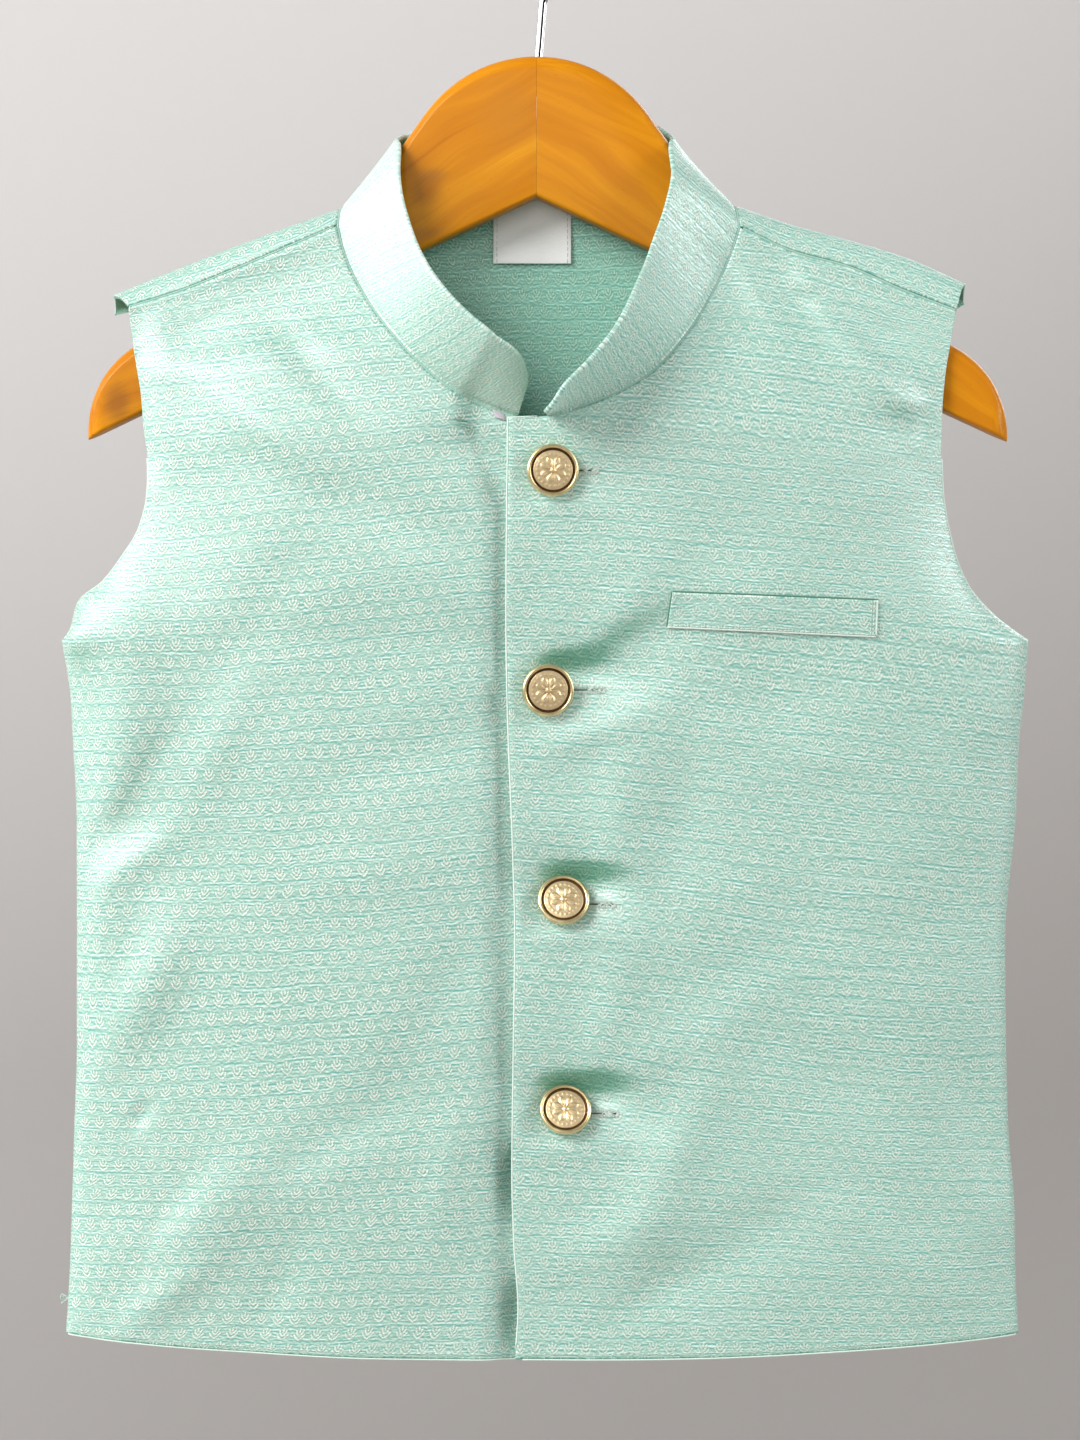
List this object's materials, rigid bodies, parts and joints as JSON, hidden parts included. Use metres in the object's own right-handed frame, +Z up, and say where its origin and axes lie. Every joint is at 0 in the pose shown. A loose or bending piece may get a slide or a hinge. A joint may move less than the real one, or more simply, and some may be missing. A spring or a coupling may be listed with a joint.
{
  "type": "nehru jacket and hanger",
  "caption": "Child's sleeveless nehru jacket in mint jacquard brocade with a band collar, button front and chest welt, hung on a varnished wooden hanger with a wire hook.",
  "frame": {"origin": "inside top of the hook, where a rail or peg holds it", "axes": "+Z up, -Y out of the jacket's front, +X to the wearer's left"},
  "size_m": [0.3362, 0.069, 0.5124],
  "materials": {
    "cloth": "satin",
    "label": "satin",
    "wood": "gloss",
    "brass": "satin",
    "steel": "polished"
  },
  "bodies": {
    "root": {"right_front": "cloth", "left_front": "cloth", "back": "cloth", "collar": "cloth", "pocket_welt": "cloth", "label": "label", "button_1": "brass", "button_2": "brass", "button_3": "brass", "button_4": "brass", "hanger_left": "wood", "hanger_right": "wood", "hook": "steel"}
  },
  "joints": []
}
